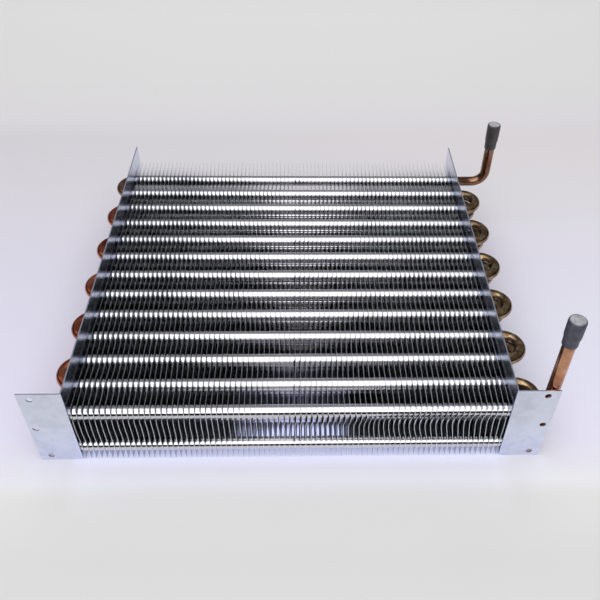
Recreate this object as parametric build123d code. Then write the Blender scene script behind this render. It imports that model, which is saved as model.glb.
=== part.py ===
from build123d import *
import os
from math import cos, hypot, pi, sin

# Finned tube evaporator coil: one copper circuit of 38 straight passes in three staggered rows,
# threaded through 80 aluminium fins between two folded steel end plates.
# X runs along the tubes, Y from the mounting flanges to the rear, +Z up.
# The origin is the centre of the four corner mounting holes, on the flanges' front face.

# ---- driving dimensions, mm ----

# end plates, folded from sheet
PLATE_SPAN = 322.0          # outer face to outer face
PLATE_HEIGHT = 76.2
SHEET = 1.0
FOLD_RADIUS = 0.6           # inside the fold
FLANGE_WIDTH = 30.5         # from the plate's outer face to the flange's free edge
MOUNT_HOLE = 4.8
CORNER_HOLE_EDGE = 8.7      # corner hole centres to the flange's free edge
CORNER_HOLE_MARGIN = 5.6    # corner hole centres to the flange's top and bottom edges
MIDDLE_HOLE_EDGE = 5.2      # middle hole centre to the flange's free edge

# copper circuit
TUBE_OD = 9.52
TUBE_PITCH = 25.4           # between neighbouring tubes of a row
ROW_PITCH = 19.05           # between neighbouring rows
TUBES_PER_ROW = 13          # in the upper and lower rows
HAIRPIN_STRAIGHT = 1.4      # bare tube between the left plate and the bend
LEG_PROJECTION = 5.0        # leg ends beyond the right plate, where the return bends are brazed on
RETURN_STRAIGHT = 2.0       # short straight on each end of a return bend

# fins
FIN_PITCH = 4.0
FIN_THICKNESS = 0.16
FIN_END_GAP = 2.0           # between the outermost fin and an end plate
FIN_SETBACK = 0.3           # fin edges behind the mounting face
FIN_LIFT = 0.5              # fin edges above the bottom of the end plates

# inlet and outlet stubs, with their transit caps
STUB_BEND_RADIUS = 12.7
INLET_REACH = 37.0          # from the right plate to the riser's axis
INLET_TOP = 75.6            # top of the cap above the origin
OUTLET_REACH = 27.0
OUTLET_TOP = 101.5
CAP_LENGTH = 33.0
CAP_MOUTH_OD = 11.4
CAP_TOP_OD = 12.8
CAP_END = 2.6               # thickness of the closed end
CAP_RIM = 1.8               # the rim is rounded in two flats

# clearances
PLATE_HOLE_CLEARANCE = 0.15  # around a tube, on the radius
FIN_CLEARANCE = 0.05         # between a tube and the fins
CAP_CLEARANCE = 0.05         # around the stub, on the radius
CAP_END_GAP = 0.3            # between the stub's end and the closed end

# Tubes are drawn with a many-sided section and with bends in short straight steps,
# and each tube as a solid bar, which keeps 37 bends light.
SECTION_SIDES = 8
CAP_SIDES = 16
BEND_STEPS = 6              # in a half turn

# ---- derived places ----

PLATE_OUTER = PLATE_SPAN / 2
PLATE_INNER = PLATE_OUTER - SHEET
PLATE_BOTTOM = -PLATE_HEIGHT / 2
FLANGE_EDGE = PLATE_OUTER + FLANGE_WIDTH
TUBE_RADIUS = TUBE_OD / 2
ROWS = 3
FIN_DEPTH = TUBES_PER_ROW * TUBE_PITCH
FIN_HEIGHT = ROWS * ROW_PITCH
FIN_BOTTOM = PLATE_BOTTOM + FIN_LIFT
PLATE_DEPTH = FIN_SETBACK + FIN_DEPTH
LEG_END = PLATE_OUTER + LEG_PROJECTION


def tube_centre(row, place):
    """(y, z) of a tube: row 0 is the lower row, and the middle row is set back by half a pitch."""
    stagger = 0.5 * (row % 2)
    y = FIN_SETBACK + TUBE_PITCH * (0.25 + stagger + place)
    z = FIN_BOTTOM + ROW_PITCH * (0.5 + row)
    return y, z


def row_places(row):
    """Places filled in a row. The middle row holds an even number, so both stubs come out at the right."""
    if row % 2:
        return list(range(TUBES_PER_ROW - TUBES_PER_ROW % 2))
    return list(range(TUBES_PER_ROW))


def circuit():
    """The passes in the order of flow: forward along the upper row, back along the middle, forward below."""
    upper = [tube_centre(2, place) for place in reversed(row_places(2))]
    middle = [tube_centre(1, place) for place in row_places(1)]
    lower = [tube_centre(0, place) for place in reversed(row_places(0))]
    return upper + middle + lower


# ---- end plates ----


def many_sided_hole(y, z):
    """A cutter along X whose flats clear the tube's corners."""
    flat_radius = TUBE_RADIUS + PLATE_HOLE_CLEARANCE
    section = Plane.YZ.offset(-PLATE_OUTER - SHEET) * Pos(y, z) * RegularPolygon(
        flat_radius, SECTION_SIDES, major_radius=False
    )
    return extrude(section, 3 * SHEET)


def left_end_plate():
    """Web with a hole for each tube, and a flange folded outward along its front edge."""
    outline = [
        (-PLATE_INNER, 0),
        (-FLANGE_EDGE, 0),
        (-FLANGE_EDGE, SHEET),
        (-PLATE_OUTER, SHEET),
        (-PLATE_OUTER, PLATE_DEPTH),
        (-PLATE_INNER, PLATE_DEPTH),
    ]
    profile = make_face(Polyline(*outline, close=True))
    outside = profile.vertices().sort_by_distance((-PLATE_INNER, 0, 0))[0]
    profile = fillet(outside, FOLD_RADIUS + SHEET)
    inside = profile.vertices().sort_by_distance((-PLATE_OUTER, SHEET, 0))[0]
    profile = fillet(inside, FOLD_RADIUS)
    plate = Pos(0, 0, PLATE_BOTTOM) * extrude(profile, PLATE_HEIGHT)
    tube_holes = [many_sided_hole(y, z) for y, z in circuit()]
    corner_x = -FLANGE_EDGE + CORNER_HOLE_EDGE
    corner_z = PLATE_HEIGHT / 2 - CORNER_HOLE_MARGIN
    middle_x = -FLANGE_EDGE + MIDDLE_HOLE_EDGE
    places = [(corner_x, -corner_z), (middle_x, 0), (corner_x, corner_z)]
    cutter = Rot(90, 0, 0) * Cylinder(MOUNT_HOLE / 2, 4 * SHEET)
    mount_holes = [Pos(x, SHEET / 2, z) * cutter for x, z in places]
    return plate - tube_holes - mount_holes


# ---- fins ----


def fin():
    """One fin sheet, centred on X = 0. Each row of collared tube holes is drawn as one long slot."""
    sheet = Pos(0, FIN_SETBACK + FIN_DEPTH / 2, FIN_BOTTOM + FIN_HEIGHT / 2) * Box(
        FIN_THICKNESS, FIN_DEPTH, FIN_HEIGHT
    )
    half_slot = TUBE_RADIUS + FIN_CLEARANCE
    for row in range(ROWS):
        places = row_places(row)
        first_y, z = tube_centre(row, places[0])
        last_y, z = tube_centre(row, places[-1])
        slot = Box(2 * FIN_THICKNESS, last_y - first_y + 2 * half_slot, 2 * half_slot)
        sheet -= Pos(0, (first_y + last_y) / 2, z) * slot
    return sheet


def fin_pack():
    """As many fins as fit between the end plates, evenly spaced about the middle."""
    room = 2 * (PLATE_INNER - FIN_END_GAP)
    gaps = int(room / FIN_PITCH + 1e-6)
    sheet = fin()
    return Compound(children=[Pos(FIN_PITCH * (n - gaps / 2), 0, 0) * sheet for n in range(gaps + 1)])


# ---- tubes ----


def tube(points):
    """A tube along straight runs with mitred corners."""
    path = Polyline(*points)
    start = Plane(origin=points[0], x_dir=(0, 1, 0), z_dir=Vector(*points[1]) - Vector(*points[0]))
    section = start * RegularPolygon(TUBE_RADIUS, SECTION_SIDES)
    return sweep(section, path=path, transition=Transition.RIGHT)


def half_turn(one, other, x, side):
    """Points of a half turn from one tube centre to the other, bulging to the given side in X."""
    middle_y, middle_z = (one[0] + other[0]) / 2, (one[1] + other[1]) / 2
    half_y, half_z = one[0] - middle_y, one[1] - middle_z
    radius = hypot(half_y, half_z)
    angles = [pi * n / BEND_STEPS for n in range(BEND_STEPS + 1)]
    return [(x + side * radius * sin(a), middle_y + half_y * cos(a), middle_z + half_z * cos(a)) for a in angles]


def hairpin(one, other):
    """Two passes and the bend that joins them beyond the left plate, bent from one length of tube."""
    bend = half_turn(one, other, -PLATE_OUTER - HAIRPIN_STRAIGHT, -1)
    return tube([(LEG_END, *one)] + bend + [(LEG_END, *other)])


def return_bend(one, other):
    """Short bend brazed face to face on two leg ends beyond the right plate."""
    bend = half_turn(one, other, LEG_END + RETURN_STRAIGHT, 1)
    return tube([(LEG_END, *one)] + bend + [(LEG_END, *other)])


def stub(centre, reach, cap_top):
    """Connection tube: out from a leg end, then straight up to just under the closed end of its cap."""
    y, z = centre
    riser_x = PLATE_OUTER + reach
    top = cap_top - CAP_END - CAP_END_GAP
    steps = BEND_STEPS // 2
    angles = [pi / 2 * n / steps for n in range(steps + 1)]
    corner_x, corner_z = riser_x - STUB_BEND_RADIUS, z + STUB_BEND_RADIUS
    elbow = [(corner_x + STUB_BEND_RADIUS * sin(a), y, corner_z - STUB_BEND_RADIUS * cos(a)) for a in angles]
    return tube([(LEG_END, y, z)] + elbow + [(riser_x, y, top)])


def cap(centre, reach, cap_top):
    """Moulded transit cap: wider at its closed end, with a rounded rim."""
    top_radius = CAP_TOP_OD / 2
    levels = [
        (0, CAP_MOUTH_OD / 2),
        (CAP_LENGTH - CAP_RIM, top_radius),
        (CAP_LENGTH - CAP_RIM / 3, top_radius - CAP_RIM / 3),
        (CAP_LENGTH, top_radius - CAP_RIM),
    ]
    sections = [Pos(0, 0, height) * RegularPolygon(radius, CAP_SIDES) for height, radius in levels]
    bore = RegularPolygon(TUBE_RADIUS + CAP_CLEARANCE, CAP_SIDES, major_radius=False)
    body = loft(sections, ruled=True) - extrude(bore, CAP_LENGTH - CAP_END)
    return Pos(PLATE_OUTER + reach, centre[0], cap_top - CAP_LENGTH) * body


# ---- the coil ----


def coil():
    """Every piece by name, each bend numbered along the flow."""
    passes = circuit()
    left = left_end_plate()
    pieces = {
        "fin_pack": fin_pack(),
        "left_end_plate": left,
        "right_end_plate": mirror(left, Plane.YZ),
        "inlet_stub": stub(passes[0], INLET_REACH, INLET_TOP),
        "inlet_cap": cap(passes[0], INLET_REACH, INLET_TOP),
        "outlet_stub": stub(passes[-1], OUTLET_REACH, OUTLET_TOP),
        "outlet_cap": cap(passes[-1], OUTLET_REACH, OUTLET_TOP),
    }
    for n in range(0, len(passes), 2):
        pieces[f"hairpin_{n // 2 + 1:02d}"] = hairpin(passes[n], passes[n + 1])
    for n in range(1, len(passes) - 1, 2):
        pieces[f"return_bend_{n // 2 + 1:02d}"] = return_bend(passes[n], passes[n + 1])
    return pieces


os.makedirs("parts", exist_ok=True)
for name, piece in coil().items():
    export_step(piece, f"parts/{name}.step")
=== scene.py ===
from math import cos, hypot, pi, radians, sin

import bpy
from mathutils import Matrix, Vector


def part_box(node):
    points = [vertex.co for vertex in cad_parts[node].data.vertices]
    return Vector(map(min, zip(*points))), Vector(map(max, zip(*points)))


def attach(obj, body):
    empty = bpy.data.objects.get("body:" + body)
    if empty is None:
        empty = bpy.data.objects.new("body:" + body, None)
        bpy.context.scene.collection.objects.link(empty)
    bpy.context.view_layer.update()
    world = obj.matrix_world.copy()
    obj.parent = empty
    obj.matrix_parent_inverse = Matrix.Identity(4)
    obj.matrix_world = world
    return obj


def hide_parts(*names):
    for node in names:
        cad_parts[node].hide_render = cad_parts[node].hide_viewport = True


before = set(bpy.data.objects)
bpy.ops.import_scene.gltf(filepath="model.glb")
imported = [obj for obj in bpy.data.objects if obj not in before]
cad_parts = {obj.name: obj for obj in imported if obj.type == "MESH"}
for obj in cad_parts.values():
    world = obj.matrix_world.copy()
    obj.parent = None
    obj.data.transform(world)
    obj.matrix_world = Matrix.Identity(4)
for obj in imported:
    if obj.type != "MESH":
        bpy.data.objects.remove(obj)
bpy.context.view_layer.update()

# Finned tube evaporator coil, dressed over its CAD frame. Metres, X along the tubes, Y from the
# mounting flanges to the rear, +Z up.

MM = 0.001

# ---- sizes read from the frame ----

fin_low, fin_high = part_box("fin_pack")
left_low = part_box("left_end_plate")[0]
right_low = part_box("right_end_plate")[0]
hairpin_low, hairpin_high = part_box("hairpin_01")

TUBES_PER_ROW = 13
ROWS = 3
TUBE_PITCH = (fin_high.y - fin_low.y) / TUBES_PER_ROW
ROW_PITCH = (fin_high.z - fin_low.z) / ROWS
SHEET = 1.0 * MM
PLATE_INNER = right_low.x
PLATE_OUTER = PLATE_INNER + SHEET
TUBE_RADIUS = (hairpin_high.z - hairpin_low.z) / 2
LEG_END = hairpin_high.x
FIN_PITCH = 4.0 * MM
FIN_THICKNESS = 0.16 * MM
FIN_EDGE = 0.26 * MM         # the sheared outline, with its slight burr
FIN_LIP = 0.36 * MM          # the rippled front lip of the foil, drawn as one thicker bead
FIN_COUNT = 80
FIN_FIRST = -FIN_PITCH * (FIN_COUNT - 1) / 2
HAIRPIN_STRAIGHT = 1.4 * MM
RETURN_STRAIGHT = 2.0 * MM
STUB_BEND_RADIUS = 12.7 * MM


def tube_centre(row, place):
    """(y, z) of a tube: row 0 is the lower row, and the middle row is set back by half a pitch."""
    y = fin_low.y + TUBE_PITCH * (0.25 + 0.5 * (row % 2) + place)
    z = fin_low.z + ROW_PITCH * (0.5 + row)
    return y, z


def row_tubes(row):
    """Tube centres of one row, from the front."""
    number = TUBES_PER_ROW - row % 2
    return [tube_centre(row, place) for place in range(number)]


PASSES = row_tubes(2)[::-1] + row_tubes(1) + row_tubes(0)[::-1]

# ---- nodes and materials ----


def tint(code):
    """sRGB hex to a linear colour."""
    parts = [int(code[n:n + 2], 16) / 255 for n in (1, 3, 5)]
    return [c / 12.92 if c <= 0.04045 else ((c + 0.055) / 1.055) ** 2.4 for c in parts] + [1.0]


def add(tree, kind, sockets=None, links=None, stops=(), **settings):
    """Adds a node with its settings, socket values and links and, on a ramp, its (position, shade) stops."""
    made = tree.nodes.new(kind)
    for name, value in settings.items():
        setattr(made, name, value)
    for name, value in (sockets or {}).items():
        made.inputs[name].default_value = value
    for name, source in (links or {}).items():
        tree.links.new(source, made.inputs[name])
    if stops:
        elements = made.color_ramp.elements
        while len(elements) < len(stops):
            elements.new(0.5)
        for element, (position, shade) in zip(elements, stops):
            element.position = position
            element.color = tint(shade) if isinstance(shade, str) else [shade, shade, shade, 1.0]
    return made


def start_material(name, **sockets):
    """A material with one Principled shader; returns it with its tree, shader and object coordinates."""
    material = bpy.data.materials.new(name)
    material.use_nodes = True
    tree = material.node_tree
    tree.nodes.clear()
    shader = add(tree, "ShaderNodeBsdfPrincipled", {key.replace("_", " "): v for key, v in sockets.items()})
    add(tree, "ShaderNodeOutputMaterial", links={"Surface": shader.outputs["BSDF"]})
    place = add(tree, "ShaderNodeTexCoord").outputs["Object"]
    return material, tree, shader, place


def rolled_aluminium():
    # Fin foil: mill finish dulled by cloudy drawing oil, with fine rolling lines, and bright at its sheared
    # edges, partly painted light; its rear margin is painted near white as painted light.
    material, tree, shader, place = start_material(
        "rolled_aluminium_foil", Metallic=1.0, Roughness=0.3
    )
    stretched = add(tree, "ShaderNodeMapping", {"Scale": (1, 0.06, 1)}, {"Vector": place})
    lines = add(
        tree, "ShaderNodeTexNoise", {"Scale": 1 / (0.5 * MM), "Detail": 3.0}, {"Vector": stretched.outputs[0]}
    )
    clouds = add(tree, "ShaderNodeTexNoise", {"Scale": 1 / (14 * MM), "Detail": 4.0}, {"Vector": place})
    dull = add(
        tree, "ShaderNodeValToRGB", links={"Fac": clouds.outputs["Fac"]},
        stops=[(0.3, "#A6AAAD"), (0.7, "#BCC0C2")],
    ).outputs["Color"]
    parts = add(tree, "ShaderNodeSeparateXYZ", links={"Vector": place}).outputs
    # painted light: the foil's rear margin is mixed toward near white, lighter than the foil's own tone
    painted_light_rear = add(
        tree, "ShaderNodeMapRange", {"From Min": fin_high.y - 20 * MM, "From Max": fin_high.y - 8 * MM},
        {"Value": parts["Y"]},
    ).outputs[0]
    colour = add(
        tree, "ShaderNodeMix", {"B": tint("#F0F1F3")}, {"Factor": painted_light_rear, "A": dull}, data_type="RGBA"
    ).outputs["Result"]
    # the sheared edges are bright cut metal, with painted light on top: the front edges are bright all along,
    # the top edges painted brighter toward the right
    front = add(
        tree, "ShaderNodeMapRange", {"From Min": 3 * MM, "From Max": 1 * MM}, {"Value": parts["Y"]}
    ).outputs[0]
    painted_light_rightward = add(
        tree, "ShaderNodeMapRange", {"From Min": -0.06, "From Max": 0.06, "To Min": 0.4},
        {"Value": parts["X"]},
    ).outputs[0]
    share = add(tree, "ShaderNodeMath", links={0: front, 1: painted_light_rightward}, operation="MAXIMUM").outputs[0]
    edge = add(tree, "ShaderNodeAttribute", attribute_name="sheared").outputs["Fac"]
    edge = add(tree, "ShaderNodeMath", links={0: edge, 1: share}, operation="MULTIPLY").outputs[0]
    bright = add(
        tree, "ShaderNodeMix", {"B": tint("#F4F6F8")}, {"Factor": edge, "A": colour}, data_type="RGBA"
    )
    tree.links.new(bright.outputs["Result"], shader.inputs["Base Color"])
    rough = add(
        tree, "ShaderNodeMapRange", {"To Min": 0.3, "To Max": 0.42}, {"Value": lines.outputs["Fac"]}
    ).outputs[0]
    # drawn smoother round the tubes, and smoother over the rear margin that is painted light
    free = add(tree, "ShaderNodeAttribute", attribute_name="free").outputs["Fac"]
    drawn = add(tree, "ShaderNodeMapRange", {"To Min": 0.4, "To Max": 1.0}, {"Value": free}).outputs[0]
    rear_smoother = add(tree, "ShaderNodeMapRange", {"To Min": 1.0, "To Max": 0.3}, {"Value": painted_light_rear}).outputs[0]
    smooth = add(tree, "ShaderNodeMath", links={0: drawn, 1: rear_smoother}, operation="MULTIPLY").outputs[0]
    rough = add(tree, "ShaderNodeMath", links={0: rough, 1: smooth}, operation="MULTIPLY").outputs[0]
    matt = add(tree, "ShaderNodeMath", {1: 0.2}, {0: edge, 2: rough}, operation="MULTIPLY_ADD")
    tree.links.new(matt.outputs[0], shader.inputs["Roughness"])
    bump = add(
        tree, "ShaderNodeBump", {"Strength": 0.04, "Distance": 0.01 * MM}, {"Height": lines.outputs["Fac"]}
    )
    tree.links.new(bump.outputs[0], shader.inputs["Normal"])
    return material


def drawn_aluminium():
    # Fin collars: foil drawn tight over the tube, burnished bright, with slight rings.
    material, tree, shader, place = start_material(
        "drawn_aluminium_collar", Metallic=1.0, Roughness=0.2
    )
    clouds = add(tree, "ShaderNodeTexNoise", {"Scale": 1 / (3 * MM), "Detail": 3.0}, {"Vector": place})
    colour = add(
        tree, "ShaderNodeValToRGB", links={"Fac": clouds.outputs["Fac"]},
        stops=[(0.3, "#D2D0D4"), (0.7, "#DFDDE0")],
    ).outputs["Color"]
    tree.links.new(colour, shader.inputs["Base Color"])
    rough = add(
        tree, "ShaderNodeMapRange", {"To Min": 0.09, "To Max": 0.16}, {"Value": clouds.outputs["Fac"]}
    )
    tree.links.new(rough.outputs[0], shader.inputs["Roughness"])
    bump = add(
        tree, "ShaderNodeBump", {"Strength": 0.1, "Distance": 0.05 * MM}, {"Height": clouds.outputs["Fac"]}
    )
    tree.links.new(bump.outputs[0], shader.inputs["Normal"])
    return material


def galvanised_steel():
    # End plates: zinc-coated sheet, pale blue-grey with faint spangle, handling scratches and smudges.
    material, tree, shader, place = start_material(
        "galvanised_steel_sheet", Metallic=1.0, Roughness=0.4
    )
    spangle = add(tree, "ShaderNodeTexVoronoi", {"Scale": 1 / (5 * MM)}, {"Vector": place})
    smudge = add(
        tree, "ShaderNodeTexNoise", {"Scale": 1 / (22 * MM), "Detail": 5.0, "Roughness": 0.6},
        {"Vector": place},
    )
    turned = add(
        tree, "ShaderNodeMapping", {"Rotation": (0.0, 0.5, 0.0), "Scale": (1.0, 1.0, 0.05)}, {"Vector": place}
    )
    scratch = add(
        tree, "ShaderNodeTexNoise", {"Scale": 1 / (1.2 * MM), "Detail": 2.0}, {"Vector": turned.outputs[0]}
    )
    cell = add(tree, "ShaderNodeSeparateColor", links={"Color": spangle.outputs["Color"]})
    mix = add(
        tree, "ShaderNodeMix", {"Factor": 0.2}, {"A": smudge.outputs["Fac"], "B": cell.outputs["Red"]}
    )
    colour = add(
        tree, "ShaderNodeValToRGB", links={"Fac": mix.outputs[0]},
        stops=[(0.25, "#CAD0E0"), (0.5, "#DBE0F0"), (0.8, "#E6EAF8")],
    ).outputs["Color"]
    tree.links.new(colour, shader.inputs["Base Color"])
    rough = add(tree, "ShaderNodeMapRange", {"To Min": 0.16, "To Max": 0.28}, {"Value": mix.outputs[0]})
    tree.links.new(rough.outputs[0], shader.inputs["Roughness"])
    bump = add(
        tree, "ShaderNodeBump", {"Strength": 0.3, "Distance": 0.03 * MM}, {"Height": scratch.outputs["Fac"]}
    )
    tree.links.new(bump.outputs[0], shader.inputs["Normal"])
    return material


def copper(name, dark, middle, bright, patch, shine):
    # Copper tube: glossy drawn metal that shines through a thin tarnish in patches of the given size.
    material, tree, shader, place = start_material(name, Metallic=1.0, Roughness=0.3)
    patches = add(
        tree, "ShaderNodeTexNoise", {"Scale": 1 / patch, "Detail": 5.0, "Roughness": 0.6}, {"Vector": place}
    )
    colour = add(
        tree, "ShaderNodeValToRGB", links={"Fac": patches.outputs["Fac"]},
        stops=[(0.32, dark), (0.5, middle), (0.68, bright)],
    ).outputs["Color"]
    tree.links.new(colour, shader.inputs["Base Color"])
    rough = add(
        tree, "ShaderNodeMapRange", {"To Min": shine + 0.1, "To Max": shine},
        {"Value": patches.outputs["Fac"]},
    )
    tree.links.new(rough.outputs[0], shader.inputs["Roughness"])
    grain = add(tree, "ShaderNodeTexNoise", {"Scale": 1 / (0.6 * MM), "Detail": 2.0}, {"Vector": place})
    bump = add(
        tree, "ShaderNodeBump", {"Strength": 0.1, "Distance": 0.02 * MM}, {"Height": grain.outputs["Fac"]}
    )
    tree.links.new(bump.outputs[0], shader.inputs["Normal"])
    return material


def vinyl(name, low, high):
    # Transit caps: dip-moulded soft vinyl, dull with a faint sheen and dust; the upturned closed end is
    # painted pale, a painted light from above.
    material, tree, shader, place = start_material(name, Roughness=0.5, IOR=1.53)
    dust = add(tree, "ShaderNodeTexNoise", {"Scale": 1 / (4 * MM), "Detail": 4.0}, {"Vector": place})
    body = add(
        tree, "ShaderNodeValToRGB", links={"Fac": dust.outputs["Fac"]}, stops=[(0.35, low), (0.7, high)]
    ).outputs["Color"]
    # painted light: a pale grey for the closed end, mixed in by the "end" mask
    painted_top_light = add(
        tree, "ShaderNodeValToRGB", links={"Fac": dust.outputs["Fac"]},
        stops=[(0.35, "#8E9092"), (0.6, "#B4B6B6")],
    ).outputs["Color"]
    end = add(tree, "ShaderNodeAttribute", attribute_name="end").outputs["Fac"]
    colour = add(
        tree, "ShaderNodeMix", links={"Factor": end, "A": body, "B": painted_top_light}, data_type="RGBA"
    ).outputs["Result"]
    tree.links.new(colour, shader.inputs["Base Color"])
    rough = add(tree, "ShaderNodeMapRange", {"To Min": 0.42, "To Max": 0.6}, {"Value": dust.outputs["Fac"]})
    tree.links.new(rough.outputs[0], shader.inputs["Roughness"])
    grain = add(tree, "ShaderNodeTexNoise", {"Scale": 1 / (0.4 * MM), "Detail": 2.0}, {"Vector": place})
    bump = add(
        tree, "ShaderNodeBump", {"Strength": 0.25, "Distance": 0.05 * MM}, {"Height": grain.outputs["Fac"]}
    )
    tree.links.new(bump.outputs[0], shader.inputs["Normal"])
    return material


FOIL = rolled_aluminium()
COLLAR = drawn_aluminium()
GALVANISED = galvanised_steel()
COPPER = copper("drawn_copper", "#6E3424", "#A4553A", "#C67C5C", 12 * MM, 0.12)
DARKER_COPPER = copper("browned_copper", "#6A4A38", "#8A6650", "#A88468", 12 * MM, 0.12)
PALER_COPPER = copper("handled_copper", "#9A664C", "#BE8A6A", "#D8AA88", 16 * MM, 0.14)
TARNISHED = copper("heat_tarnished_copper", "#5A4834", "#8A7254", "#C4AE8A", 6 * MM, 0.1)
SLATE = vinyl("slate_vinyl", "#3E3E4C", "#545460")
GREY = vinyl("grey_vinyl", "#363231", "#4A4644")

# ---- mesh helpers ----


def build(name, vertices, faces, smooth=60):
    """A mesh, smooth except over edges sharper than the given angle."""
    mesh = bpy.data.meshes.new(name)
    mesh.from_pydata(vertices, [], faces)
    mesh.shade_smooth()
    mesh.set_sharp_from_angle(angle=radians(smooth))
    return mesh


def add_piece(name, mesh, material, stands_for=()):
    """A finished piece on the coil's one body."""
    mesh.materials.clear()
    mesh.materials.append(material)
    made = bpy.data.objects.new(name, mesh)
    bpy.context.scene.collection.objects.link(made)
    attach(made, "root")
    if stands_for:
        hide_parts(*stands_for)


def swept(name, stations, side, sides=20):
    """Round section along stations of (centre, direction, radius); side is square to the path's plane."""
    vertices, faces = [], []
    for centre, direction, radius in stations:
        across = direction.cross(side).normalized()
        for n in range(sides):
            angle = 2 * pi * n / sides
            vertices.append(centre + radius * (cos(angle) * side + sin(angle) * across))
    for ring in range(len(stations) - 1):
        for n in range(sides):
            one, two = ring * sides + n, ring * sides + (n + 1) % sides
            faces.append((one, one + sides, two + sides, two))
    for ring, turn in ((0, 1), (len(stations) - 1, -1)):
        middle = len(vertices)
        vertices.append(stations[ring][0])
        for n in range(sides):
            one, two = ring * sides + n, ring * sides + (n + 1) % sides
            faces.append((middle, one, two)[::turn])
    return build(name, vertices, faces)


# ---- tubes ----

ARC_STEPS = 16
DARKER_FROM = 0.25          # hairpins from here to the rear take the darker copper
BELL_OVERRUN = 1.7 * MM      # how much further out a bend starts, past its belled sockets

# a belled socket, as (place along the leg from its end, radius) in mm: a flared mouth, the braze fillet and
# then the bend's own tube
BELL_PROFILE = [(-3.4, 4.76), (-2.5, 5.35), (2.2, 5.5), (2.9, 5.35), (3.6, 4.76)]


def turn_stations(one, other, x, toward):
    """Stations of a half turn between two tube centres, bulging toward -X or +X."""
    start, end = Vector((x, *one)), Vector((x, *other))
    middle, arm = (start + end) / 2, (start - end) / 2
    out = Vector((toward * arm.length, 0, 0))
    stations = []
    for n in range(ARC_STEPS + 1):
        angle = pi * n / ARC_STEPS
        centre = middle + cos(angle) * arm + sin(angle) * out
        direction = (-sin(angle) * arm + cos(angle) * out).normalized()
        stations.append((centre, direction, TUBE_RADIUS))
    return stations


def plane_side(one, other):
    """Unit vector square to the plane of a bend between two tube centres."""
    return Vector((1, 0, 0)).cross(Vector((0, other[0] - one[0], other[1] - one[1]))).normalized()


def hairpin(number, one, other):
    """Two long legs and the bend beyond the left plate."""
    stations = [(Vector((LEG_END, *one)), Vector((-1, 0, 0)), TUBE_RADIUS)]
    stations += turn_stations(one, other, -PLATE_OUTER - HAIRPIN_STRAIGHT, -1)
    stations += [(Vector((LEG_END, *other)), Vector((1, 0, 0)), TUBE_RADIUS)]
    name = f"hairpin_{number:02d}"
    metal = DARKER_COPPER if min(one[0], other[0]) > DARKER_FROM else COPPER
    add_piece(name + "_drawn", swept(name, stations, plane_side(one, other)), metal, [name])


def bell(point, outward):
    """Stations of a belled socket on a leg end."""
    return [(point + outward * level * MM, outward, radius * MM) for level, radius in BELL_PROFILE]


def return_bend(number, one, other):
    """Short bend beyond the right plate, brazed into the belled ends of two legs."""
    out = Vector((1, 0, 0))
    stations = bell(Vector((LEG_END, *one)), out)
    stations += turn_stations(one, other, LEG_END + RETURN_STRAIGHT + BELL_OVERRUN, 1)
    stations += [(c, -d, r) for c, d, r in reversed(bell(Vector((LEG_END, *other)), out))]
    name = f"return_bend_{number:02d}"
    bend = swept(name, stations, plane_side(one, other))
    add_piece(name + "_drawn", bend, TARNISHED, [name])


for n in range(0, len(PASSES), 2):
    hairpin(n // 2 + 1, PASSES[n], PASSES[n + 1])
for n in range(1, len(PASSES) - 1, 2):
    return_bend(n // 2 + 1, PASSES[n], PASSES[n + 1])


def stub(name, one, metal):
    """Connection tube: belled joint, elbow and riser up into the cap."""
    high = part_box(name)[1]
    out, up = Vector((1, 0, 0)), Vector((0, 0, 1))
    riser = Vector((high.x - TUBE_RADIUS, one[0], one[1]))
    corner = riser + STUB_BEND_RADIUS * (up - out)
    stations = bell(Vector((LEG_END, *one)), out)
    for n in range(ARC_STEPS // 2 + 1):
        angle = pi / 2 * n / (ARC_STEPS // 2)
        centre = corner + STUB_BEND_RADIUS * (sin(angle) * out - cos(angle) * up)
        stations.append((centre, cos(angle) * out + sin(angle) * up, TUBE_RADIUS))
    stations.append((Vector((riser.x, riser.y, high.z)), up, TUBE_RADIUS))
    add_piece(name + "_drawn", swept(name, stations, Vector((0, 1, 0))), metal, [name])


# a cap as (share of its length, share of its radius), from the mouth to the closed end
CAP_PROFILE = [
    (0.0, 0.80), (0.0, 0.85), (0.012, 0.88), (0.22, 0.885), (0.27, 0.9), (0.35, 0.965), (0.41, 0.985),
    (0.6, 0.99), (0.9, 1.0), (0.955, 0.99), (0.985, 0.95), (0.998, 0.87), (1.0, 0.78), (0.996, 0.55),
    (0.99, 0.25),
]
CAP_SIDES = 28
PAINTED_END_LENGTH = 0.05           # share of the length that is painted pale as light from above
PAINTED_END_RADIUS = 0.88           # share of the radius at which the painted pale end has faded out
PAINTED_END_FADE = 0.12


def cap(name, material, height):
    """Moulded cap: narrow gripping mouth, short flare, straight body and a rounded, slightly dished end."""
    low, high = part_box(name)
    middle = (low + high) / 2
    radius, foot = (high.x - low.x) / 2, high.z - height
    up = Vector((0, 0, 1))
    stations = [
        (Vector((middle.x, middle.y, foot + part * height)), up, share * radius)
        for part, share in CAP_PROFILE
    ]
    mesh = swept(name, stations, Vector((0, 1, 0)), CAP_SIDES)
    # painted light: the "end" mask marks the top of the closed end that is painted pale
    end = mesh.attributes.new("end", "FLOAT", "POINT")
    for vertex in mesh.vertices:
        reach = hypot(vertex.co.x - middle.x, vertex.co.y - middle.y) / radius
        if vertex.co.z > high.z - PAINTED_END_LENGTH * height:
            end.data[vertex.index].value = min(max((PAINTED_END_RADIUS - reach) / PAINTED_END_FADE, 0), 1)
    add_piece(name + "_moulded", mesh, material, [name])


stub("inlet_stub", PASSES[0], DARKER_COPPER)
stub("outlet_stub", PASSES[-1], PALER_COPPER)
cap("inlet_cap", GREY, 26 * MM)
cap("outlet_cap", SLATE, 22.5 * MM)

# ---- fins ----

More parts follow.
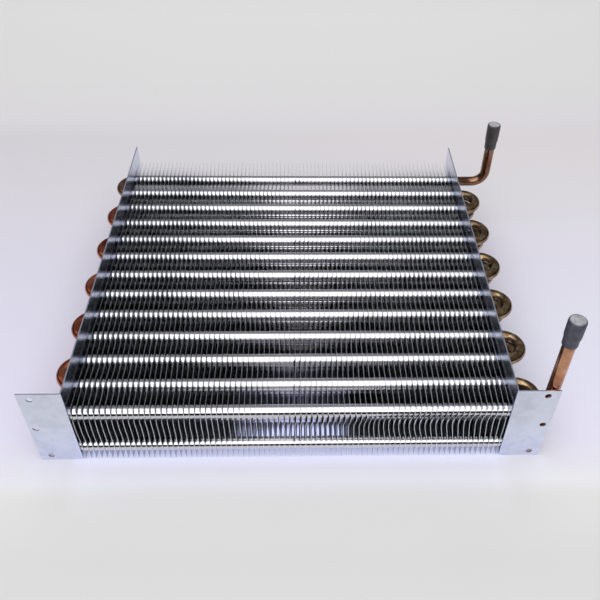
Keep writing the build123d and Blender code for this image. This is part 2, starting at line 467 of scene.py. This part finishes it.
HOLE_SIDES = 16
HOLE_RADIUS = TUBE_RADIUS + 0.15 * MM
SAME = 1e-6                  # closer than this counts as on the edge
LIP_CLEAR = 7 * MM           # the front lip is thick only beyond this from a tube's centre
REAR_MARGIN = 14 * MM        # the rear stays thin
FREE_FROM, FREE_OVER = 5.4 * MM, 8 * MM  # where a tube stops holding the sheet still, and over what length
LIP_FROM, LIP_OVER = 5.2 * MM, 2 * MM    # the same for the combed front lip
LIP_DEPTH = 9 * MM           # how deep behind the front edge the combing fades out
LIP_FADE = 1.5
SWAY_SPACING = (0.045, 0.03, 0.025)


def ring_offsets(left):
    """Sixteen points round a tube's cell, anticlockwise from +Y, as (y, z) offsets; left is its -Y edge."""
    half, quarter = TUBE_PITCH / 2, TUBE_PITCH / 4
    top, step = ROW_PITCH / 2, ROW_PITCH / 4
    near = -quarter if left else -half
    mid = near / 2
    return [
        (half, 0), (half, step), (half, top), (quarter, top), (0, top), (mid, top), (near, top), (near, step),
        (near, 0), (near, -step), (near, -top), (mid, -top), (0, -top), (quarter, -top), (half, -top),
        (half, -step),
    ]


def fin_sheet():
    """One flat fin with a round hole for every tube, centred on X = 0, as a closed thin sheet."""
    places, index, quads = [], {}, []

    def corner(y, z):
        key = (round(y * 1e7), round(z * 1e7))
        if key not in index:
            index[key] = len(places)
            places.append((y, z))
        return index[key]

    def block(y0, y1, row):
        columns = round((y1 - y0) / (TUBE_PITCH / 4))
        for column in range(columns):
            for level in range(4):
                ya, yb = y0 + column * TUBE_PITCH / 4, y0 + (column + 1) * TUBE_PITCH / 4
                za = fin_low.z + ROW_PITCH * (row + level / 4)
                zb = za + ROW_PITCH / 4
                quads.append((corner(ya, za), corner(yb, za), corner(yb, zb), corner(ya, zb)))

    holes = []
    for row in range(ROWS):
        tubes = row_tubes(row)
        for place, (y, z) in enumerate(tubes):
            rim = ring_offsets(place == 0 and row != 1)
            outer = [corner(y + dy, z + dz) for dy, dz in rim]
            inner = []
            for n in range(HOLE_SIDES):
                angle = 2 * pi * n / HOLE_SIDES
                inner.append(corner(y + HOLE_RADIUS * cos(angle), z + HOLE_RADIUS * sin(angle)))
            for n in range(HOLE_SIDES):
                m = (n + 1) % HOLE_SIDES
                quads.append((inner[n], outer[n], outer[m], inner[m]))
            holes.append(inner)
        if row == 1:
            block(fin_low.y, fin_low.y + TUBE_PITCH / 4, row)
        block(tubes[-1][0] + TUBE_PITCH / 2, fin_high.y, row)
    count = len(places)
    edge_y, edge_z = (fin_low.y, fin_high.y), (fin_low.z, fin_high.z)
    tubes = [centre for row in range(ROWS) for centre in row_tubes(row)]
    gaps = [min(hypot(y - ty, z - tz) for ty, tz in tubes) for y, z in places]
    halves = []
    for (y, z), gap in zip(places, gaps):
        on_edge = min(abs(y - e) for e in edge_y) < SAME or min(abs(z - e) for e in edge_z) < SAME
        front = abs(y - fin_low.y) < SAME and z < fin_high.z - SAME
        lipped = front and gap > LIP_CLEAR
        plain = front or y > fin_high.y - REAR_MARGIN or not on_edge
        halves.append((FIN_LIP if lipped else FIN_THICKNESS if plain else FIN_EDGE) / 2)
    vertices = [(half, y, z) for half, (y, z) in zip(halves, places)]
    vertices += [(-half, y, z) for half, (y, z) in zip(halves, places)]
    faces = list(quads)
    faces += [tuple(v + count for v in reversed(quad)) for quad in quads]
    used = {}
    for quad in quads:
        for n in range(4):
            used[(quad[n], quad[(n + 1) % 4])] = True
    for one, two in used:
        if (two, one) not in used:
            faces.append((two, one, one + count, two + count))
    mesh = build("fin_sheet", vertices, faces)
    # sheared edge faces, valued higher at the front than elsewhere; in the foil this brightness is partly
    # painted light
    sheared = mesh.attributes.new("sheared", "FLOAT", "FACE")
    for n in range(2 * len(quads), len(faces)):
        front = all(abs(vertices[v][1] - fin_low.y) < SAME for v in faces[n])
        sheared.data[n].value = 1.0 if front else 0.8
    free = mesh.attributes.new("free", "FLOAT", "POINT")
    lip = mesh.attributes.new("lip", "FLOAT", "POINT")
    for n, (x, y, z) in enumerate(vertices):
        gap = gaps[n % count]
        share = min(max((gap - FREE_FROM) / FREE_OVER, 0), 1)
        free.data[n].value = share * share * (3 - 2 * share)
        held = min(max((gap - LIP_FROM) / LIP_OVER, 0), 1)
        lip.data[n].value = held * max(1 - (y - fin_low.y) / LIP_DEPTH, 0) ** LIP_FADE
    return mesh


def start_tree(name, result, *inputs):
    """A geometry tree with named inputs of (name, kind, value) and one result, and its inputs' outlets."""
    tree = bpy.data.node_groups.new(name, "GeometryNodeTree")
    tree.is_modifier = True
    for label, kind, value in inputs:
        socket = tree.interface.new_socket(name=label, in_out="INPUT", socket_type="NodeSocket" + kind)
        if value is not None:
            socket.default_value = value
    tree.interface.new_socket(name=result, in_out="OUTPUT", socket_type="NodeSocketGeometry")
    return tree, add(tree, "NodeGroupInput").outputs


# how far the front lips lean at the top and bow at mid height, along the coil's width and up the fins
LEAN_X = [(0.44, 0.0), (0.47, 0.6), (0.53, 1.0), (0.67, 1.0), (0.71, 0.2), (0.76, 0.0)]
LEAN_Z = [(0.667, 0.0), (0.75, 0.35), (0.833, 0.6), (0.917, 0.1), (1.0, 0.0)]
BOW_X = [
    (0.0, 0.1), (0.19, 0.2), (0.375, 0.05), (0.5, 0.0), (0.656, 0.15), (0.7, 0.7), (0.75, 1.0), (0.875, 1.0),
    (0.95, 0.5), (1.0, 0.1),
]
BOW_Z = [
    (0.25, 0.0), (0.333, 0.05), (0.417, 0.28), (0.5, 0.55), (0.583, 0.82), (0.667, 1.0), (0.75, 0.98),
    (0.833, 0.65), (0.917, 0.15), (1.0, 0.0),
]


def fin_nodes():
    """Fins repeated along X, swaying a little where no tube holds them, their front lips combed over."""
    tree, given = start_tree(
        "fin_pack_repeat", "Fins", ("Fin", "Geometry", None), ("Count", "Int", 10), ("First", "Float", 0.0),
        ("Pitch", "Float", 0.004), ("Sway", "Float", 0.0005), ("Lean", "Float", 0.0), ("Bow", "Float", 0.0),
        ("Material", "Material", None),
    )
    first = add(tree, "ShaderNodeCombineXYZ", links={"X": given["First"]})
    step = add(tree, "ShaderNodeCombineXYZ", links={"X": given["Pitch"]})
    line = add(
        tree, "GeometryNodeMeshLine",
        links={"Count": given["Count"], "Start Location": first.outputs[0], "Offset": step.outputs[0]},
    )
    placed = add(
        tree, "GeometryNodeInstanceOnPoints", links={"Points": line.outputs[0], "Instance": given["Fin"]}
    )
    real = add(tree, "GeometryNodeRealizeInstances", links={"Geometry": placed.outputs[0]})
    where = add(tree, "GeometryNodeInputPosition")
    free = add(tree, "GeometryNodeInputNamedAttribute", {"Name": "free"}, data_type="FLOAT")
    scaled = add(
        tree, "ShaderNodeVectorMath", {1: [1 / spacing for spacing in SWAY_SPACING]}, {0: where.outputs[0]},
        operation="MULTIPLY",
    )
    noise = add(tree, "ShaderNodeTexNoise", {"Scale": 1.0, "Detail": 1.0}, {"Vector": scaled.outputs[0]})
    centred = add(tree, "ShaderNodeMath", {1: 0.5}, {0: noise.outputs["Fac"]}, operation="SUBTRACT")
    swayed = add(
        tree, "ShaderNodeMath", links={0: centred.outputs[0], 1: given["Sway"]}, operation="MULTIPLY"
    )
    held = add(
        tree, "ShaderNodeMath", links={0: swayed.outputs[0], 1: free.outputs[0]}, operation="MULTIPLY"
    )
    lip = add(tree, "GeometryNodeInputNamedAttribute", {"Name": "lip"}, data_type="FLOAT")
    parts = add(tree, "ShaderNodeSeparateXYZ", links={"Vector": where.outputs[0]})
    across = add(
        tree, "ShaderNodeMapRange", {"From Min": -PLATE_INNER, "From Max": PLATE_INNER},
        {"Value": parts.outputs["X"]},
    ).outputs[0]
    height = add(
        tree, "ShaderNodeMapRange", {"From Min": fin_low.z, "From Max": fin_high.z},
        {"Value": parts.outputs["Z"]},
    ).outputs[0]
    combed = []
    for amount, along_x, along_z in (("Lean", LEAN_X, LEAN_Z), ("Bow", BOW_X, BOW_Z)):
        size = given[amount]
        for source, stops in ((across, along_x), (height, along_z)):
            curve = add(tree, "ShaderNodeValToRGB", links={"Fac": source}, stops=stops).outputs["Color"]
            size = add(tree, "ShaderNodeMath", links={0: size, 1: curve}, operation="MULTIPLY").outputs[0]
        combed.append(size)
    pushed = add(tree, "ShaderNodeMath", links={0: combed[0], 1: combed[1]}, operation="ADD")
    moved = add(
        tree, "ShaderNodeMath", links={0: pushed.outputs[0], 1: lip.outputs[0], 2: held.outputs[0]},
        operation="MULTIPLY_ADD",
    )
    shift = add(tree, "ShaderNodeCombineXYZ", links={"X": moved.outputs[0]})
    bent = add(
        tree, "GeometryNodeSetPosition", links={"Geometry": real.outputs[0], "Offset": shift.outputs[0]}
    )
    finished = add(
        tree, "GeometryNodeSetMaterial", links={"Geometry": bent.outputs[0], "Material": given["Material"]}
    )
    add(tree, "NodeGroupOutput", links={"Fins": finished.outputs[0]})
    return tree


def run_nodes(name, mesh, tree, **values):
    """The mesh that a geometry tree makes from a starting mesh and named inputs."""
    holder = bpy.data.objects.new(name, mesh)
    bpy.context.scene.collection.objects.link(holder)
    modifier = holder.modifiers.new("repeat", "NODES")
    modifier.node_group = tree
    for item in tree.interface.items_tree:
        key = item.name.replace(" ", "_")
        if item.item_type == "SOCKET" and item.in_out == "INPUT" and key in values:
            modifier[item.identifier] = values[key]
    graph = bpy.context.evaluated_depsgraph_get()
    made = bpy.data.meshes.new_from_object(holder.evaluated_get(graph), depsgraph=graph)
    holder.modifiers.remove(modifier)
    bpy.data.objects.remove(holder)
    made.name = name
    return made


FIN_TREE = fin_nodes()
FIN_SHEET = fin_sheet()
ZONES = [("left", 0, 27), ("middle", 27, 26), ("right", 53, 27)]
for zone, start, count in ZONES:
    fins = run_nodes(
        f"fins_{zone}", FIN_SHEET, FIN_TREE, Count=count, First=FIN_FIRST + start * FIN_PITCH,
        Pitch=FIN_PITCH, Sway=2.4 * MM, Lean=4 * MM, Bow=-3.6 * MM, Material=FOIL,
    )
    fins.set_sharp_from_angle(angle=radians(50))
    add_piece(f"fins_{zone}", fins, FOIL, ["fin_pack"])


# along one fin pitch: how far the collar flares, and how far its butt end is shifted
COLLAR_FLARE = [(0.0, 0.0), (0.25, 0.0), (0.5, 1.0), (0.75, 0.15)]
COLLAR_BUTT = [(0.0, 0.0), (0.25, 1.0), (0.5, 0.0)]
BUTT_SHIFT = 0.85 * MM


def sleeve_nodes():
    """Fin collars nested end to end along every tube of a row, one continuous rippled sleeve each."""
    tree, given = start_tree(
        "collar_sleeves", "Sleeves", ("Tube points", "Geometry", None), ("Start", "Float", -0.16),
        ("End", "Float", 0.16), ("Stations", "Int", 161), ("Radius", "Float", 0.005),
        ("Root", "Float", 0.0004), ("Sides", "Int", 16), ("Material", "Material", None),
    )
    start = add(tree, "ShaderNodeCombineXYZ", links={"X": given["Start"]})
    end = add(tree, "ShaderNodeCombineXYZ", links={"X": given["End"]})
    line = add(
        tree, "GeometryNodeCurvePrimitiveLine", links={"Start": start.outputs[0], "End": end.outputs[0]}
    )
    fine = add(
        tree, "GeometryNodeResampleCurve", links={"Curve": line.outputs[0], "Count": given["Stations"]}
    )
    index = add(tree, "GeometryNodeInputIndex")
    # four stations to a fin: one just before its plane, one in it, where the collar flares into its root, and
    # two along the collar; the flares are wider toward the left
    turn = add(tree, "ShaderNodeMath", {1: 4.0}, {0: index.outputs[0]}, operation="MODULO").outputs[0]
    turn = add(tree, "ShaderNodeMath", {1: 4.0}, {0: turn}, operation="DIVIDE").outputs[0]
    flare, butt = [
        add(tree, "ShaderNodeValToRGB", links={"Fac": turn}, stops=stops).outputs["Color"]
        for stops in (COLLAR_FLARE, COLLAR_BUTT)
    ]
    shift = add(tree, "ShaderNodeMath", {1: BUTT_SHIFT}, {0: butt}, operation="MULTIPLY")
    offset = add(tree, "ShaderNodeCombineXYZ", links={"X": shift.outputs[0]})
    where = add(tree, "GeometryNodeInputPosition")
    along = add(tree, "ShaderNodeSeparateXYZ", links={"Vector": where.outputs[0]}).outputs["X"]
    wide = add(
        tree, "ShaderNodeMapRange", {"From Min": -0.11, "From Max": 0.01, "To Min": 1.0, "To Max": 0.1},
        {"Value": along},
    ).outputs[0]
    flare = add(tree, "ShaderNodeMath", links={0: flare, 1: wide}, operation="MULTIPLY").outputs[0]
    radius = add(
        tree, "ShaderNodeMath", links={0: flare, 1: given["Root"], 2: given["Radius"]},
        operation="MULTIPLY_ADD",
    )
    rippled = add(
        tree, "GeometryNodeSetCurveRadius", links={"Curve": fine.outputs[0], "Radius": radius.outputs[0]}
    )
    circle = add(tree, "GeometryNodeCurvePrimitiveCircle", {"Radius": 1.0}, {"Resolution": given["Sides"]})
    set_back = add(
        tree, "GeometryNodeSetPosition", links={"Geometry": rippled.outputs[0], "Offset": offset.outputs[0]}
    )
    solid = add(
        tree, "GeometryNodeCurveToMesh", {"Fill Caps": True},
        {"Curve": set_back.outputs[0], "Profile Curve": circle.outputs[0], "Scale": radius.outputs[0]},
    )
    placed = add(
        tree, "GeometryNodeInstanceOnPoints",
        links={"Points": given["Tube points"], "Instance": solid.outputs[0]},
    )
    real = add(tree, "GeometryNodeRealizeInstances", links={"Geometry": placed.outputs[0]})
    finished = add(
        tree, "GeometryNodeSetMaterial", links={"Geometry": real.outputs[0], "Material": given["Material"]}
    )
    add(tree, "NodeGroupOutput", links={"Sleeves": finished.outputs[0]})
    return tree


SLEEVE_TREE = sleeve_nodes()
for row, level in enumerate(("lower", "middle", "upper")):
    points = bpy.data.meshes.new("tube_points")
    points.from_pydata([(0, y, z) for y, z in row_tubes(row)], [], [])
    sleeves = run_nodes(
        f"collars_{level}", points, SLEEVE_TREE, Start=-PLATE_INNER, End=PLATE_INNER,
        Stations=4 * FIN_COUNT + 1, Radius=TUBE_RADIUS + 0.22 * MM, Root=0.48 * MM,
        Sides=16, Material=COLLAR,
    )
    sleeves.shade_smooth()
    sleeves.set_sharp_from_angle(angle=radians(30))
    add_piece(f"collars_{level}", sleeves, COLLAR)

# ---- end plates ----


def rim_nodes():
    """Drawn rims round the tube holes of an end plate."""
    tree, given = start_tree(
        "hole_rims", "Rims", ("Tube points", "Geometry", None), ("Rim radius", "Float", 0.0054),
        ("Bead radius", "Float", 0.0006), ("Sides", "Int", 20), ("Material", "Material", None),
    )
    path = add(
        tree, "GeometryNodeCurvePrimitiveCircle",
        links={"Resolution": given["Sides"], "Radius": given["Rim radius"]},
    )
    bead = add(tree, "GeometryNodeCurvePrimitiveCircle", {"Resolution": 8}, {"Radius": given["Bead radius"]})
    rim = add(
        tree, "GeometryNodeCurveToMesh", links={"Curve": path.outputs[0], "Profile Curve": bead.outputs[0]}
    )
    placed = add(
        tree, "GeometryNodeInstanceOnPoints", {"Rotation": (0, pi / 2, 0)},
        {"Points": given["Tube points"], "Instance": rim.outputs[0]},
    )
    real = add(tree, "GeometryNodeRealizeInstances", links={"Geometry": placed.outputs[0]})
    finished = add(
        tree, "GeometryNodeSetMaterial", links={"Geometry": real.outputs[0], "Material": given["Material"]}
    )
    add(tree, "NodeGroupOutput", links={"Rims": finished.outputs[0]})
    return tree


RIM_TREE = rim_nodes()
for side, sign in (("left", -1), ("right", 1)):
    points = bpy.data.meshes.new("rim_points")
    points.from_pydata([(sign * (PLATE_OUTER + 0.2 * MM), y, z) for y, z in PASSES], [], [])
    rims = run_nodes(
        f"{side}_hole_rims", points, RIM_TREE, Rim_radius=5.45 * MM, Bead_radius=0.62 * MM, Sides=20,
        Material=GALVANISED,
    )
    rims.shade_smooth()
    add_piece(f"{side}_hole_rims", rims, GALVANISED)
for side in ("left", "right"):
    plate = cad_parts[f"{side}_end_plate"]
    for slot in plate.material_slots:
        slot.material = GALVANISED

# ---- studio ----

FLOOR_Z = left_low.z

# painted light and shade on the paper: its tint, lighter and darker in bands from 0.12 m before the coil's
# front to 0.88 m behind that front, at the left and right
PAINTED_PAPER_LEFT = [
    (0.014, "#DEDDD8"), (0.035, "#DFDED9"), (0.06, "#E5E3DE"), (0.084, "#E7E5DF"), (0.098, "#ECEBED"),
    (0.14, "#E8E5F3"), (0.2, "#E5E1EF"), (0.27, "#E2DFEA"), (0.36, "#E0DDE5"), (0.466, "#DFDBDE"),
    (0.6, "#DCD9D8"), (0.65, "#E4E1DF"), (0.76, "#E9E7E1"), (0.99, "#EEEDE6"),
]
PAINTED_PAPER_RIGHT = [
    (0.014, "#DEDDD8"), (0.035, "#DFDED9"), (0.06, "#E5E3DE"), (0.084, "#E7E5DF"), (0.098, "#EFEEED"),
    (0.14, "#ECE9F5"), (0.2, "#E9E7F2"), (0.27, "#E7E5ED"), (0.36, "#E6E2EA"), (0.466, "#E3E0DF"),
    (0.6, "#E3DDDB"), (0.65, "#E4E1DF"), (0.76, "#E9E7E1"), (0.99, "#EEEDE6"),
]

# the glow under the front fins, from 0.06 m before the coil's front to 0.1 m behind it: its lip and its depth
GLOW_LIP = [(0.0, 0.0), (0.31, 0.12), (0.375, 0.42), (0.42, 0.6), (0.46, 0.3), (0.5, 0.0)]
GLOW_DEEP = [(0.42, 0.0), (0.46, 1.0), (0.54, 1.0), (0.58, 0.12), (0.75, 0.06), (1.0, 0.0)]


def studio_paper():
    # Floor: matt paper whose pale tints are painted light and shade, graded front to back and left to right.
    # Its emission stands for light that spills in between the front fins.
    material, tree, shader, place = start_material("matt_studio_paper", Roughness=0.9)
    split = add(tree, "ShaderNodeSeparateXYZ", links={"Vector": place})
    depth = add(
        tree, "ShaderNodeMapRange", {"From Min": -0.12, "From Max": 0.88}, {"Value": split.outputs["Y"]}
    ).outputs[0]
    sides = [
        add(tree, "ShaderNodeValToRGB", links={"Fac": depth}, stops=painted_tints).outputs["Color"]
        for painted_tints in (PAINTED_PAPER_LEFT, PAINTED_PAPER_RIGHT)
    ]
    painted_light_rightward = add(
        tree, "ShaderNodeMapRange", {"From Min": -0.25, "From Max": 0.25}, {"Value": split.outputs["X"]}
    ).outputs[0]
    colour = add(
        tree, "ShaderNodeMix", links={"Factor": painted_light_rightward, "A": sides[0], "B": sides[1]}, data_type="RGBA"
    ).outputs["Result"]
    tree.links.new(colour, shader.inputs["Base Color"])
    inward = add(
        tree, "ShaderNodeMapRange", {"From Min": -0.06, "From Max": 0.1}, {"Value": split.outputs["Y"]}
    ).outputs[0]
    lip, deep = [
        add(tree, "ShaderNodeValToRGB", links={"Fac": inward}, stops=stops).outputs["Color"]
        for stops in (GLOW_LIP, GLOW_DEEP)
    ]
    side = add(tree, "ShaderNodeMath", links={0: split.outputs["X"]}, operation="ABSOLUTE").outputs[0]
    wide = add(tree, "ShaderNodeMapRange", {"From Min": 0.17, "From Max": 0.155}, {"Value": side}).outputs[0]
    narrow = add(
        tree, "ShaderNodeMapRange", {"From Min": 0.046, "From Max": 0.036, "To Max": 1.4}, {"Value": side},
        interpolation_type="SMOOTHSTEP",
    ).outputs[0]
    turns = add(tree, "ShaderNodeMath", {1: 2 * pi / FIN_PITCH}, {0: side}, operation="MULTIPLY").outputs[0]
    wave = add(tree, "ShaderNodeMath", links={0: turns}, operation="COSINE").outputs[0]
    between = add(tree, "ShaderNodeMapRange", {"From Min": -0.1, "From Max": 0.8}, {"Value": wave}).outputs[0]
    narrow = add(tree, "ShaderNodeMath", links={0: narrow, 1: between}, operation="MULTIPLY").outputs[0]
    lit = add(tree, "ShaderNodeMath", links={0: lip, 1: wide}, operation="MULTIPLY").outputs[0]
    lit = add(tree, "ShaderNodeMath", links={0: deep, 1: narrow, 2: lit}, operation="MULTIPLY_ADD").outputs[0]
    shader.inputs["Emission Color"].default_value = tint("#BDC4F0")
    tree.links.new(lit, shader.inputs["Emission Strength"])
    return material


FLOOR_HALF = 4
floor_corners = [(x * FLOOR_HALF, y * FLOOR_HALF, FLOOR_Z) for x, y in ((-1, -1), (1, -1), (1, 1), (-1, 1))]
floor = bpy.data.objects.new("floor", build("floor", floor_corners, [(0, 1, 2, 3)]))
floor.data.materials.append(studio_paper())
bpy.context.scene.collection.objects.link(floor)


def flag(name, corners, colour):
    """A card for the metal to reflect: no camera sees it and it casts no shadow."""
    material = bpy.data.materials.new(name)
    material.use_nodes = True
    material.node_tree.nodes.clear()
    glow = add(material.node_tree, "ShaderNodeEmission", {"Color": tint(colour), "Strength": 1.0})
    add(material.node_tree, "ShaderNodeOutputMaterial", links={"Surface": glow.outputs[0]})
    card = bpy.data.objects.new(name, build(name, corners, [(0, 1, 2, 3)]))
    card.data.materials.append(material)
    bpy.context.scene.collection.objects.link(card)
    card.visible_camera = card.visible_diffuse = card.visible_shadow = False


def upright(x0, y0, x1, y1, top):
    """Corners of a card that stands on the floor."""
    return [(x0, y0, FLOOR_Z), (x1, y1, FLOOR_Z), (x1, y1, top), (x0, y0, top)]


FLAG_SIDE, FLAG_FRONT, FLAG_REAR = 0.7, -0.16, 1.1
flag("front_flag", upright(-FLAG_SIDE, FLAG_FRONT, FLAG_SIDE, FLAG_FRONT, 0.07), "#1C1C20")
flag("left_flag", upright(-FLAG_SIDE, FLAG_FRONT, -FLAG_SIDE, FLAG_REAR, 0.2), "#2A2A30")
flag("right_flag", upright(FLAG_SIDE, FLAG_FRONT, FLAG_SIDE, FLAG_REAR, 0.2), "#2A2A30")
flag("right_wing", upright(0.75, -1.2, 0.75, FLAG_REAR, 1.7), "#88888E")
flag("rear_flag", upright(-2.5, FLAG_REAR, 2.5, FLAG_REAR, 1.8), "#8A8A90")

# The world lights the shadows; the camera and the metal see it as a pale backdrop.
world = bpy.data.worlds.new("studio")
bpy.context.scene.world = world
world.use_nodes = True
world.node_tree.nodes.clear()
path = add(world.node_tree, "ShaderNodeLightPath")
seen = add(
    world.node_tree, "ShaderNodeMath", operation="MAXIMUM",
    links={0: path.outputs["Is Camera Ray"], 1: path.outputs["Is Glossy Ray"]},
)
seen = add(
    world.node_tree, "ShaderNodeMath", operation="MAXIMUM",
    links={0: seen.outputs[0], 1: path.outputs["Is Transmission Ray"]},
)
fill = add(world.node_tree, "ShaderNodeBackground", {"Color": tint("#D4D6E4"), "Strength": 0.55})
backdrop = add(world.node_tree, "ShaderNodeBackground", {"Color": tint("#D8D7DF"), "Strength": 1.0})
mixed = add(
    world.node_tree, "ShaderNodeMixShader",
    links={0: seen.outputs[0], 1: fill.outputs[0], 2: backdrop.outputs[0]},
)
add(world.node_tree, "ShaderNodeOutputWorld", links={"Surface": mixed.outputs[0]})


def lamp(name, place, target, width, depth, level, mirrored=True):
    """A soft box of a plain light level that faces a point; the metal may mirror it or not."""
    light = bpy.data.lights.new(name, "AREA")
    light.shape = "RECTANGLE"
    light.size, light.size_y = width, depth
    light.energy = level * pi * width * depth
    made = bpy.data.objects.new(name, light)
    made.location = place
    made.visible_glossy = mirrored
    made.rotation_mode = "QUATERNION"
    made.rotation_quaternion = (Vector(target) - Vector(place)).to_track_quat("-Z", "Y")
    bpy.context.scene.collection.objects.link(made)


lamp("front_box", (0.0, -2.42, 1.8), (0.0, -2.42, 0.0), 3.0, 2.76, 1.6)
lamp("overhead", (0.0, -0.245, 1.8), (0.0, -0.245, 0.0), 3.0, 1.59, 1.2)
lamp("rear_fill", (0.0, 1.7, 1.3), (0.0, 0.4, 0.0), 3.0, 1.2, 0.8, mirrored=False)

# The camera stands before the coil and above it, and looks down on it; its small shift is the framing.
CAMERA_PLACE = [part * MM for part in (6.9224, -326.6684, 423.3465)]
LENS = 43.0656               # mm, on a sensor 36 mm wide
view = bpy.data.cameras.new("view")
view.sensor_width = 36
view.lens = LENS
view.shift_x, view.shift_y = -0.0392, 0.0297
camera = bpy.data.objects.new("view", view)
right = Vector((0.99950872, -0.02513368, 0.01872497))
up = Vector((0.003847, 0.69130165, 0.72255604))
back = right.cross(up)
camera.matrix_world = Matrix((
    (right.x, up.x, back.x, CAMERA_PLACE[0]),
    (right.y, up.y, back.y, CAMERA_PLACE[1]),
    (right.z, up.z, back.z, CAMERA_PLACE[2]),
    (0, 0, 0, 1),
))
bpy.context.scene.collection.objects.link(camera)
bpy.context.scene.camera = camera
bpy.context.scene.view_settings.view_transform = "Standard"
